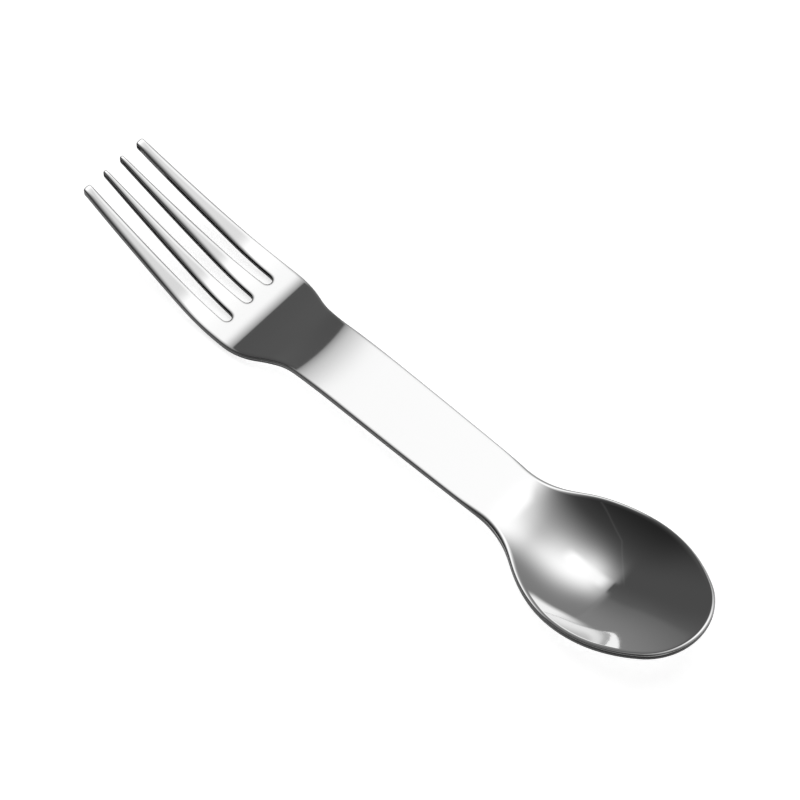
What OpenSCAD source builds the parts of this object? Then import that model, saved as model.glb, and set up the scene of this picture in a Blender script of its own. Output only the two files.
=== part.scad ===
// Spork pressed from one strip of stainless steel: a four-tined fork at one end,
// a spoon bowl at the other and a flat strap handle between them.
// The length runs along X, with the fork towards -X. The spork lies face up on
// z = 0, on the trough behind its tines and on the bottom of its bowl.

/* [Overall] */
// Length from the tips of the tines to the end of the bowl
overall_length = 171.4; // [155:0.2:200]
// Thickness of the steel
sheet_t = 1.8; // [1.4:0.1:2.4]
// Radius of the smoothed edges
edge_r = 0.5; // [0.3:0.05:0.7]

/* [Fork] */
// Distance from the tips of the tines to the deepest line of the trough
fork_length = 42.2; // [36:0.1:48]
// Width across the fork where it is widest
fork_w = 24.2; // [21:0.1:28]
// Distance from the tips of the tines to the widest part of the fork
fork_widest = 44.6; // [42.4:0.1:48]
// Angle at which each side of the fork narrows towards the tips
fork_taper = 4.1; // [2:0.1:5]
// Radius of the curve that leads each side into its taper
fork_side_r = 168; // [120:1:220]
// Angle of the upward curve just past the trough
sweep_angle = 17; // [10:0.5:24]
// Radius of that curve
sweep_r = 43.8; // [36:0.2:60]
// Radius of the slow curve along the tines
tine_curve_r = 368; // [250:1:700]

/* [Tines] */
// Length of the slots from the tips of the tines to their round ends
slot_length = 42; // [34:0.1:44]
// Width of a slot at its round end
slot_root_w = 2.6; // [1.6:0.05:3.4]
// Width of the gap between two tines at their tips
slot_tip_w = 4.1; // [3:0.05:4.6]
// Distance of the outer slots from the middle at their round ends
slot_root_pitch = 6.5; // [5.6:0.05:7.2]
// Distance of the outer gaps from the middle at the tips
slot_tip_pitch = 5.15; // [4.8:0.05:5.6]
// Radius of the corners of the tips, where a tine is wide enough for it
tip_corner_r = 0.6; // [0.3:0.05:0.9]

/* [Neck] */
// Height of the handle above the trough, and above the floor of the bowl
neck_rise = 5.26; // [3:0.02:8]
// Length of the level bottom of the trough
trough_flat = 1.3; // [0.5:0.1:3]
// Radius of the bend at the foot of the neck
neck_low_r = 28.9; // [22:0.1:38]
// Straight length of the neck between its two bends
neck_straight = 5.3; // [3:0.1:8]
// Radius of the bend at the top of the neck
neck_high_r = 23.9; // [18:0.1:32]
// Angle at which that bend widens
ease_angle = 8.5; // [6:0.1:10]
// Radius of the wider bend
ease_r = 57; // [40:1:80]
// Angle at which the neck's last, slow bend starts
level_angle = 5.2; // [3:0.1:5.8]
// Radius of the slow bend into the level handle
level_r = 130; // [80:1:170]
// Radius of the fork's round shoulder, seen from above
shoulder_r = 21.5; // [16:0.5:28]
// Radius of the hollow curve from the shoulder into the handle
shoulder_hollow_r = 24; // [18:0.5:30]
// Straight length between those two curves
shoulder_straight = 1.2; // [0.5:0.1:3]

/* [Handle] */
// Width of the handle at its waist beside the bowl
waist_w = 15.34; // [13:0.02:18]
// Angle at which each side of the handle runs into the waist
waist_angle = 1.1; // [0.5:0.05:2]

/* [Bowl] */
// Width of the bowl where it is widest
bowl_w = 34; // [29:0.1:40]
// Distance from the widest part of the bowl to its end
bowl_front = 24.6; // [21:0.1:28]
// Radius of the bowl's end, seen from above
bowl_end_r = 13.7; // [11:0.1:15]
// Radius of each side of the bowl towards the handle
bowl_back_r = 32.4; // [28:0.2:40]
// Radius of the hollow curve from the handle into the bowl
bowl_hollow_r = 22; // [18:0.5:28]
// Straight length between those two curves
bowl_straight = 1.95; // [0.5:0.05:4]
// Distance from where the handle dips into the bowl to the end of the bowl
bowl_entry_end = 55; // [52:0.1:58]
// Radius of the bend where the handle dips into the bowl
bowl_entry_r = 29.5; // [22:0.5:36]
// Radius of the rise from the bowl's floor back to that bend
bowl_floor_r = 35.2; // [28:0.1:42]
// Radius of the rise from the bowl's floor towards its end
bowl_rise_r = 29.8; // [20:0.1:40]
// Distance from the end of the bowl to where its rim starts to rise
rim_rise_end = 36.1; // [30:0.1:40]
// Radius of that bend in the rim
rim_bend_r = 45; // [30:1:70]
// Angle at which the rim rises towards the end of the bowl
rim_angle = 11.5; // [6:0.5:16]

/* [Hidden] */

// Exponent of the bowl's curve across its width: 2 is a parabola
across_share = 2.14;

// Half sizes and heights
half_l = overall_length / 2;
fork_half_w = fork_w / 2;
waist_half_w = waist_w / 2;
bowl_half_w = bowl_w / 2;
trough_z = sheet_t;
handle_z = trough_z + neck_rise;

// A run is [x, y, angle, curvature]: a line or an arc that starts at x and y in
// the given direction. A positive curvature turns it towards +Y as x grows.
function run_angle(run, x) = asin(sin(run[2]) + run[3] * (x - run[0]));
function run_y(run, x) = run[3] == 0
    ? run[1] + tan(run[2]) * (x - run[0])
    : run[1] + (cos(run[2]) - cos(run_angle(run, x))) / run[3];
function next_run(run, x, curvature) = [x, run_y(run, x), run_angle(run, x), curvature];
function run_at(runs, x, i = 0) =
    i + 1 < len(runs) && x >= runs[i + 1][0] ? run_at(runs, x, i + 1) : runs[i];

// Angle of an S-bend that moves a line sideways by step, through two arcs whose
// radii add up to radii and a straight between them
function bend_angle(step, radii, straight) =
    acos((radii - step) / norm([radii, straight])) - atan2(straight, radii);

// Side view of the top face, from the tips of the tines to the handle
trough_x = fork_length - half_l;
sweep_x = trough_x - sweep_r * sin(sweep_angle);
neck_x = trough_x + trough_flat;
eased_rise = (ease_r - neck_high_r) * (1 - cos(ease_angle))
    + (level_r - ease_r) * (1 - cos(level_angle));
neck_angle = bend_angle(neck_rise - eased_rise, neck_low_r + neck_high_r, neck_straight);
climb_x = neck_x + neck_low_r * sin(neck_angle);
crest_x = climb_x + neck_straight * cos(neck_angle);
ease_x = crest_x + neck_high_r * (sin(neck_angle) - sin(ease_angle));
level_x = ease_x + ease_r * (sin(ease_angle) - sin(level_angle));
handle_x = level_x + level_r * sin(level_angle);
sweep_z = trough_z + sweep_r * (1 - cos(sweep_angle));
tip_angle = -asin(sin(sweep_angle) + (sweep_x + half_l) / tine_curve_r);
tip_z = sweep_z + tine_curve_r * (cos(sweep_angle) - cos(tip_angle));
tine_run = [-half_l, tip_z, tip_angle, 1 / tine_curve_r];
sweep_run = next_run(tine_run, sweep_x, 1 / sweep_r);
trough_run = [trough_x, trough_z, 0, 0];
neck_run = next_run(trough_run, neck_x, 1 / neck_low_r);
climb_run = next_run(neck_run, climb_x, 0);
crest_run = next_run(climb_run, crest_x, -1 / neck_high_r);
ease_run = next_run(crest_run, ease_x, -1 / ease_r);
strap_runs = [tine_run, sweep_run, trough_run, neck_run, climb_run, crest_run, ease_run,
    next_run(ease_run, level_x, -1 / level_r), [handle_x, handle_z, 0, 0]];

// Side view of the bowl's rim, and of the line along the middle of its floor,
// which ends in an arc from the lowest place and a straight up to the end of the
// rim. An arc that is too wide for the straight meets the end of the rim itself.
rim_rise_x = half_l - rim_rise_end;
rim_run = [rim_rise_x, handle_z, 0, 1 / rim_bend_r];
rim_top_run = next_run(rim_run, rim_rise_x + rim_bend_r * sin(rim_angle), 0);
rim_runs = [[handle_x, handle_z, 0, 0], rim_run, rim_top_run];
entry_x = half_l - bowl_entry_end;
entry_angle = bend_angle(neck_rise, bowl_entry_r + bowl_floor_r, 0);
descent_x = entry_x + bowl_entry_r * sin(entry_angle);
floor_x = descent_x + bowl_floor_r * sin(entry_angle);
floor_l = half_l - floor_x;
end_rise = run_y(rim_top_run, half_l) - trough_z;
widest_rise_r = (floor_l * floor_l + end_rise * end_rise) / (2 * end_rise);
rise_r = min(bowl_rise_r, widest_rise_r);
rise_angle = asin(min(rise_r / norm([floor_l, rise_r - end_rise]), 1))
    - atan2(rise_r - end_rise, floor_l);
entry_run = [entry_x, handle_z, 0, -1 / bowl_entry_r];
rise_run = [floor_x, trough_z, 0, 1 / rise_r];
middle_runs = [entry_run, next_run(entry_run, descent_x, 1 / bowl_floor_r), rise_run,
    next_run(rise_run, floor_x + rise_r * sin(rise_angle), 0)];

// Plan of the side at +Y, from the bowl back to the fork
widest_x = half_l - bowl_front;
waist_drop = bowl_hollow_r * (1 - cos(waist_angle));
bowl_angle = bend_angle(bowl_half_w - waist_half_w + waist_drop,
    bowl_back_r + bowl_hollow_r, bowl_straight);
bowl_back_x = widest_x - bowl_back_r * sin(bowl_angle);
bowl_hollow_x = bowl_back_x - bowl_straight * cos(bowl_angle);
waist_x = bowl_hollow_x - bowl_hollow_r * (sin(bowl_angle) + sin(waist_angle));
handle_half_w = waist_half_w + (waist_x - level_x) * tan(waist_angle / 2);
handle_side_r = (waist_x - level_x) / sin(waist_angle);
shoulder_angle = bend_angle(fork_half_w - handle_half_w,
    shoulder_r + shoulder_hollow_r, shoulder_straight);
shoulder_x = fork_widest - half_l;
shoulder_end_x = shoulder_x + shoulder_r * sin(shoulder_angle);
hollow_x = shoulder_end_x + shoulder_straight * cos(shoulder_angle);
strap_x = hollow_x + shoulder_hollow_r * sin(shoulder_angle);
taper_x = shoulder_x - fork_side_r * sin(fork_taper);
tip_half_w = fork_half_w - fork_side_r * (1 - cos(fork_taper))
    - (taper_x + half_l) * tan(fork_taper);
taper_run = [-half_l, tip_half_w, fork_taper, 0];
fork_side_run = next_run(taper_run, taper_x, -1 / fork_side_r);
shoulder_run = [shoulder_x, fork_half_w, 0, -1 / shoulder_r];
shoulder_end_run = next_run(shoulder_run, shoulder_end_x, 0);
hollow_run = next_run(shoulder_end_run, hollow_x, 1 / shoulder_hollow_r);
waist_run = [waist_x, waist_half_w, -waist_angle, 1 / bowl_hollow_r];
bowl_hollow_run = next_run(waist_run, bowl_hollow_x, 0);
bowl_back_run = next_run(bowl_hollow_run, bowl_back_x, -1 / bowl_back_r);
// The bowl's side and its round end touch where both point the same way
bowl_side_r = (bowl_front * bowl_front + bowl_half_w * bowl_half_w
    - 2 * bowl_front * bowl_end_r) / (2 * (bowl_half_w - bowl_end_r));
end_center_x = half_l - bowl_end_r;
end_angle = atan2(bowl_side_r - bowl_half_w, end_center_x - widest_x);
end_x = end_center_x + bowl_end_r * cos(end_angle);
bowl_side_run = [widest_x, bowl_half_w, 0, -1 / bowl_side_r];
bowl_end_run = next_run(bowl_side_run, end_x, -1 / bowl_end_r);
outline_runs = [taper_run, fork_side_run, shoulder_run, shoulder_end_run, hollow_run,
    [strap_x, handle_half_w, 0, 0], [level_x, handle_half_w, 0, -1 / handle_side_r],
    waist_run, bowl_hollow_run, bowl_back_run, bowl_side_run, bowl_end_run];

// Half the width of the strip where it is cut across at x
function half_width(x) = run_y(run_at(outline_runs, x), x);

// Height of the top face over a place in plan: level across the strap, and
// curved across the bowl from its middle line up to its rim
function top_z(x, y) = x < entry_x
    ? run_y(run_at(strap_runs, x), x)
    : let (rim = run_y(run_at(rim_runs, x), x),
        middle = run_y(run_at(middle_runs, x), x),
        v = min(abs(y) / max(half_width(x), edge_r), 1))
        middle + (rim - middle) * pow(v, across_share);

// Slopes of the top face along X and Y, from heights a short step to each side,
// and the depth below it, straight down, at which the sheet's bottom face lies
probe = edge_r / 10;
function top_slope(x, y) = [
    top_z(x + probe, y) - top_z(x - probe, y),
    top_z(x, y + probe) - top_z(x, y - probe)] / (2 * probe);
function drop(slope) = sheet_t * norm([1, slope[0], slope[1]]);

// A station is a cut across the strip: the place of its edge in plan and the
// direction in which the edge faces, as an angle from +Y towards +X
function station(x) = let (a = run_angle(run_at(outline_runs, x), x)) [x, half_width(x), -a];
function steps(from, to, n) = [for (i = [0 : n - 1]) from + (to - from) * i / n];
end_station_n = 7;
stations = [
    for (x = concat(
        steps(-half_l - edge_r, sweep_x, 8),
        steps(sweep_x, trough_x, 7),
        steps(trough_x, neck_x, 1),
        steps(neck_x, strap_x, 12),
        steps(strap_x, handle_x, 6),
        steps(handle_x, entry_x, 2),
        steps(entry_x, floor_x, 14),
        steps(floor_x, end_x, 11))) station(x),
    for (i = [0 : end_station_n])
        let (a = end_angle * (1 - i / end_station_n))
        [end_center_x + bowl_end_r * cos(a), bowl_end_r * sin(a), 90 - a]];

// Columns of points round each cut: the top face, one edge, the bottom face and
// the other edge
across_n = 14;
edge_n = 3;
function column_share(j) = sin(90 * (2 * j / across_n - 1));
function edge_inset(s, side) = [s[0] - edge_r * sin(s[2]), side * max(s[1] - edge_r * cos(s[2]), 0)];
function edge_ring(s, side) = let (
    out = [sin(s[2]), side * cos(s[2])],
    p = edge_inset(s, side),
    slope = top_slope(p[0], p[1]),
    top = top_z(p[0], p[1]),
    rise = edge_r * (slope * out),
    depth = drop(slope))
    [for (down = [0, 1], k = [1 : edge_n])
        let (t = down == 0 ? k / edge_n : 1 - (k - 1) / edge_n,
            corner = top + rise - down * depth,
            reach = edge_r * t * (2 - t),
            height = corner - rise * (1 - t) * (1 - t) + (2 * down - 1) * edge_r * t * t)
        [p[0] + out[0] * reach, p[1] + out[1] * reach, height]];
function face_points(s, down) = let (p = edge_inset(s, 1))
    [for (j = [0 : across_n])
        let (x = p[0], y = p[1] * column_share(j))
        [x, y, top_z(x, y) - down * drop(top_slope(x, y))]];
function reversed(list) = [for (i = [len(list) - 1 : -1 : 0]) list[i]];
function ring(s) = concat(face_points(s, 0), edge_ring(s, 1),
    reversed(face_points(s, 1)), reversed(edge_ring(s, -1)));
ring_n = 2 * (across_n + 1) + 4 * edge_n;

// The first cut is closed by strips between its top and bottom faces and by a
// fan of triangles over each edge
function start_faces() = let (far = 2 * (across_n + edge_n) + 1)
    [for (j = [0 : across_n - 1]) each [[j, far - j, j + 1], [j + 1, far - j, far - j - 1]],
     for (k = [1 : 2 * edge_n]) each [
        [across_n, across_n + k + 1, across_n + k],
        [0, far + k, far + k - 1]]];

// The last cut closes to a line down the end of the bowl: each point of a ring
// is joined to the place on that line that stands for it
function end_line(s) = concat([face_points(s, 0)[0]], edge_ring(s, 1),
    [face_points(s, 1)[0]]);
function end_index(j) = j <= across_n ? 0
    : j <= across_n + 2 * edge_n ? j - across_n
    : j <= 2 * (across_n + edge_n) + 1 ? 2 * edge_n + 1
    : ring_n - j;

module blank() {
    body = [for (i = [0 : len(stations) - 2]) stations[i]];
    body_n = len(body);
    points = concat([for (s = body) each ring(s)], end_line(stations[body_n]));
    last = (body_n - 1) * ring_n;
    close = body_n * ring_n;
    sides = [for (i = [0 : body_n - 2], j = [0 : ring_n - 1])
        let (k = (j + 1) % ring_n, a = i * ring_n, b = a + ring_n)
        each [[a + j, a + k, b + j], [a + k, b + k, b + j]]];
    end = [for (j = [0 : ring_n - 1])
        let (k = (j + 1) % ring_n, p = close + end_index(j), q = close + end_index(k))
        each concat([[last + j, last + k, p]], p == q ? [] : [[last + k, q, p]])];
    polyhedron(points = points, faces = concat(start_faces(), sides, end));
}

// Plan of one tine, from past the root of its slots to the round corners of its tip
over = sheet_t;
round_n = 48;
slot_end_x = slot_length - half_l;
module tine(root_in, root_out, tip_in, tip_out) {
    corner_r = min(tip_corner_r, (tip_out - tip_in) / 2);
    corner_x = corner_r - half_l;
    s = (slot_end_x - corner_x) / (slot_end_x + half_l);
    near_in = root_in + (tip_in - root_in) * s;
    near_out = root_out + (tip_out - root_out) * s;
    polygon([[slot_end_x + over, root_in], [slot_end_x, root_in], [corner_x, near_in],
        [corner_x, near_out], [slot_end_x, root_out], [slot_end_x + over, root_out]]);
    hull() for (y = [near_in + corner_r, near_out - corner_r])
        translate([corner_x, y]) circle(r = corner_r, $fn = round_n);
}

// Everything in plan that is cut away between and around the tines
module comb() {
    side_w = fork_half_w + over;
    root_r = slot_root_w / 2;
    tip_r = slot_tip_w / 2;
    difference() {
        translate([-half_l - over, -side_w])
            square([slot_length + over - root_r, 2 * side_w]);
        for (side = [0, 1]) mirror([0, side]) {
            tine(root_r, slot_root_pitch - root_r, tip_r, slot_tip_pitch - tip_r);
            tine(slot_root_pitch + root_r, side_w, slot_tip_pitch + tip_r, tip_half_w);
        }
    }
    for (y = [-slot_root_pitch, 0, slot_root_pitch])
        translate([slot_end_x - root_r, y]) circle(r = root_r, $fn = round_n);
}

module spork() {
    color("silver") difference() {
        blank();
        translate([0, 0, -over]) linear_extrude(tip_z + 2 * over) comb();
    }
}

spork();
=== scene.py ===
"""Looks of a one-piece steel spork: its pressed strip, its finish and a small studio round it."""
import logging
import math
from collections.abc import Callable
from dataclasses import dataclass, field
from enum import Enum

import bmesh
import bpy
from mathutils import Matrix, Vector


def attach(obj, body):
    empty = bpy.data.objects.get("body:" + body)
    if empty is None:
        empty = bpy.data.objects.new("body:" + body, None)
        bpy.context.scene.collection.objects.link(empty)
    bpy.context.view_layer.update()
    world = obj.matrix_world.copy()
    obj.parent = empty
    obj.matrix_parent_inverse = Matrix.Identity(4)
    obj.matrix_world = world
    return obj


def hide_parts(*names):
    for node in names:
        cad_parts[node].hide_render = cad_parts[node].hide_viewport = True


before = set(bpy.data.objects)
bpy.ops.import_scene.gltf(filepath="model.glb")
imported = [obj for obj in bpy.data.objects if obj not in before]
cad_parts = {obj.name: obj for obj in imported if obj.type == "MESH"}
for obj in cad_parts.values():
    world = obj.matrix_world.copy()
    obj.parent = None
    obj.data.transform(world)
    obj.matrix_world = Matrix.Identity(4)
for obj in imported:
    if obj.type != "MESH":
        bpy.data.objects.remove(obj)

MM = 0.001
LOG = logging.getLogger("spork")
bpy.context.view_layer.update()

# Millimetres: rounding of a place along the strip, a near miss, and points welded into one
ROUNDING = 1e-9
NEAR = 0.01
WELD = 1e-4


# Profiles: lines and arcs that follow one another along the strip

@dataclass(frozen=True)
class Run:
    """One line or arc of a profile, in millimetres along the strip.

    Attributes:
        start: place along the strip where the run starts.
        offset: height or half width there.
        angle: direction there, in radians.
        bend: one over the radius of the arc, or 0 for a line.
    """

    start: float
    offset: float
    angle: float = 0.0
    bend: float = 0.0

    def angle_at(self, along: float) -> float:
        """Direction of the run at a place along the strip."""
        sine = math.sin(self.angle) + self.bend * (along - self.start)
        return math.asin(max(-1.0, min(1.0, sine)))

    def offset_at(self, along: float) -> float:
        """Height or half width of the run at a place along the strip.

        Args:
            along: place along the strip.

        Returns:
            The height or half width in millimetres.
        """
        if self.bend == 0:
            return self.offset + math.tan(self.angle) * (along - self.start)
        return self.offset + (math.cos(self.angle) - math.cos(self.angle_at(along))) / self.bend

    def then(self, along: float, bend: float = 0.0) -> "Run":
        """The run that carries on smoothly from this one.

        Args:
            along: place where the next run starts.
            bend: one over its radius, or 0 for a line.

        Returns:
            The next run.
        """
        return Run(along, self.offset_at(along), self.angle_at(along), bend)


@dataclass(frozen=True)
class Profile:
    """Runs in order along the strip, read as one curve."""

    runs: tuple[Run, ...]

    def run(self, along: float) -> Run:
        """The run that holds a place along the strip."""
        held = [run for run in self.runs if run.start <= along + ROUNDING]
        return held[-1] if held else self.runs[0]

    def offset(self, along: float) -> float:
        """Height or half width at a place along the strip."""
        return self.run(along).offset_at(along)

    def angle(self, along: float) -> float:
        """Direction at a place along the strip."""
        return self.run(along).angle_at(along)


def bend_angle(step: float, radii: float, straight: float) -> float:
    """Angle of a bend that moves a line sideways and lets it run on in its old direction.

    Args:
        step: how far it moves the line.
        radii: sum of the radii of its two arcs.
        straight: length of the line between them.

    Returns:
        The angle in radians.
    """
    return math.acos((radii - step) / math.hypot(radii, straight)) - math.atan2(straight, radii)


def ease(low: float, high: float, value: float) -> float:
    """Smooth step from 0 at low to 1 at high."""
    t = max(0.0, min(1.0, (value - low) / (high - low)))
    return t * t * (3 - 2 * t)


def spread(low: float, high: float, count: int) -> list[float]:
    """Evenly spaced places from low up to, but not at, high."""
    return [low + (high - low) * k / count for k in range(count)]


# Sub-assemblies of the strip, each with its own sizes in millimetres

@dataclass(frozen=True)
class Sheet:
    """The steel that the whole spork is pressed from."""

    length: float = 171.398
    thickness: float = 1.8

    @property
    def half(self) -> float:
        """Half the length of the spork."""
        return self.length / 2


@dataclass(frozen=True)
class Crown:
    """Rounded edge of the sheet.

    Attributes:
        reach: how far in from the cut edge it starts.
        drop: how far it falls before the edge stands upright.
        power: how late it turns down: 2 is an ellipse.
    """

    reach: float
    drop: float
    power: float

    def toward(self, other: "Crown", share: float) -> "Crown":
        """The crown that lies between this one and another."""
        return Crown(*(a + (b - a) * share for a, b in (
            (self.reach, other.reach), (self.drop, other.drop), (self.power, other.power))))

    def within(self, reach: float) -> "Crown":
        """This crown, kept inside a given reach."""
        return Crown(min(self.reach, reach), min(self.drop, reach), self.power)

    def turned(self, across: float) -> float:
        """Share of its drop that it has fallen at a share of its reach."""
        return 1 - math.sqrt(max(0.0, 1 - across ** self.power))


@dataclass(frozen=True)
class Fork:
    """The fork: the upward sweep of its tines, its slots and the start of its trough.

    Its length runs from the tips to the level trough. Places given by from, full and length
    are distances: the crown's from the ends of the slots, the others from the tips.
    """

    length: float = 42.2
    width: float = 24.2
    widest: float = 44.6
    taper: float = math.radians(4.1)
    side_r: float = 168.0
    sweep: float = math.radians(17)
    sweep_r: float = 43.8
    tine_r: float = 368.0
    slots: int = 3
    slot_length: float = 42.0
    slot_root_w: float = 2.6
    slot_tip_w: float = 4.1
    root_pitch: float = 6.5
    tip_pitch: float = 5.15
    crown: Crown = Crown(1.05, 0.33, 2.3)
    crown_from: float = 3.0
    crown_full: float = 22.0
    tip_crown: Crown = Crown(0.45, 0.28, 2.2)
    tip_crown_from: float = 3.4
    tip_crown_full: float = 0.6
    tip_dip: float = 0.22
    tip_dip_length: float = 2.2

    def side_view(self, sheet: Sheet) -> tuple[Run, ...]:
        """Top face from the tips of the tines to the trough, seen from the side.

        Args:
            sheet: the steel of the spork.

        Returns:
            The runs of the tines, the sweep and the trough.
        """
        trough = self.length - sheet.half
        sweep_at = trough - self.sweep_r * math.sin(self.sweep)
        sweep_z = sheet.thickness + self.sweep_r * (1 - math.cos(self.sweep))
        tip = -math.asin(math.sin(self.sweep) + (sweep_at + sheet.half) / self.tine_r)
        tip_z = sweep_z + self.tine_r * (math.cos(self.sweep) - math.cos(tip))
        tines = Run(-sheet.half, tip_z, tip, 1 / self.tine_r)
        return tines, tines.then(sweep_at, 1 / self.sweep_r), Run(trough, sheet.thickness)

    def outline(self, sheet: Sheet) -> tuple[Run, ...]:
        """Side of the fork from the tips to its widest part, seen from above.

        Args:
            sheet: the steel of the spork.

        Returns:
            The runs of the taper and of the round side.
        """
        widest = self.widest - sheet.half
        taper_at = widest - self.side_r * math.sin(self.taper)
        half_w = (self.width / 2 - self.side_r * (1 - math.cos(self.taper))
                  - (taper_at + sheet.half) * math.tan(self.taper))
        taper = Run(-sheet.half, half_w, self.taper)
        return taper, taper.then(taper_at, -1 / self.side_r)

    def slot(self, along: float, sheet: Sheet) -> tuple[float, float]:
        """Pitch and half width of the slots.

        Args:
            along: place along the strip.
            sheet: the steel of the spork.

        Returns:
            Distance from slot to slot, and half the width of each slot.
        """
        share = (self.slot_length - sheet.half - along) / self.slot_length
        pitch = self.root_pitch + (self.tip_pitch - self.root_pitch) * share
        width = self.slot_root_w + (self.slot_tip_w - self.slot_root_w) * share
        return pitch, width / 2


@dataclass(frozen=True)
class Neck:
    """The bend that lifts the strip from the trough up to the handle.

    It climbs from the flat by low_r, straight and high_r, and two wider arcs level it. The
    crest's sides lie nearer to the fork by its bow, placed before the level handle, up to a
    share of the half width.
    """

    rise: float = 5.26
    flat: float = 1.8
    low_r: float = 28.9
    straight: float = 4.8
    high_r: float = 23.9
    ease_r: float = 57.0
    ease: float = math.radians(8.5)
    level_r: float = 130.0
    level: float = math.radians(5.2)
    bow: float = 0.7
    bow_from: float = 22.0
    bow_full: float = 16.0
    bow_until: float = 8.0
    bow_limit: float = 1.2
    shoulder_r: float = 21.5
    hollow_r: float = 24.0
    shoulder_straight: float = 1.2

    def side_view(self, sheet: Sheet, fork: Fork) -> tuple[Run, ...]:
        """Top face from the trough to the level handle, seen from the side.

        Args:
            sheet: the steel of the spork.
            fork: the fork that the neck starts at.

        Returns:
            The runs from the foot of the climb to the handle.
        """
        eased = ((self.ease_r - self.high_r) * (1 - math.cos(self.ease))
                 + (self.level_r - self.ease_r) * (1 - math.cos(self.level)))
        angle = bend_angle(self.rise - eased, self.low_r + self.high_r, self.straight)
        foot_at = fork.length - sheet.half + self.flat
        climb_at = foot_at + self.low_r * math.sin(angle)
        crest_at = climb_at + self.straight * math.cos(angle)
        ease_at = crest_at + self.high_r * (math.sin(angle) - math.sin(self.ease))
        level_at = ease_at + self.ease_r * (math.sin(self.ease) - math.sin(self.level))
        foot = Run(foot_at, sheet.thickness, 0, 1 / self.low_r)
        climb = foot.then(climb_at)
        crest = climb.then(crest_at, -1 / self.high_r)
        eased_run = crest.then(ease_at, -1 / self.ease_r)
        return foot, climb, crest, eased_run, eased_run.then(level_at, -1 / self.level_r), Run(
            level_at + self.level_r * math.sin(self.level), sheet.thickness + self.rise)

    def outline(self, sheet: Sheet, fork: Fork, half_w: float) -> tuple[Run, ...]:
        """Side of the shoulder down to the handle's half width, seen from above.

        Args:
            sheet: the steel of the spork.
            fork: the fork that the shoulder starts at.
            half_w: half width of the handle.

        Returns:
            The runs from the fork's widest part to the handle.
        """
        angle = bend_angle(fork.width / 2 - half_w, self.shoulder_r + self.hollow_r,
                           self.shoulder_straight)
        widest = fork.widest - sheet.half
        end_at = widest + self.shoulder_r * math.sin(angle)
        hollow_at = end_at + self.shoulder_straight * math.cos(angle)
        shoulder = Run(widest, fork.width / 2, 0, -1 / self.shoulder_r)
        end = shoulder.then(end_at)
        return shoulder, end, end.then(hollow_at, 1 / self.hollow_r), Run(
            hollow_at + self.hollow_r * math.sin(angle), half_w)


@dataclass(frozen=True)
class Handle:
    """The flat strap between the neck and the bowl, narrowest where the flare starts."""

    waist_w: float = 15.34
    waist: float = math.radians(1.1)
    crown: Crown = Crown(0.90, 0.09, 3.0)


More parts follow.
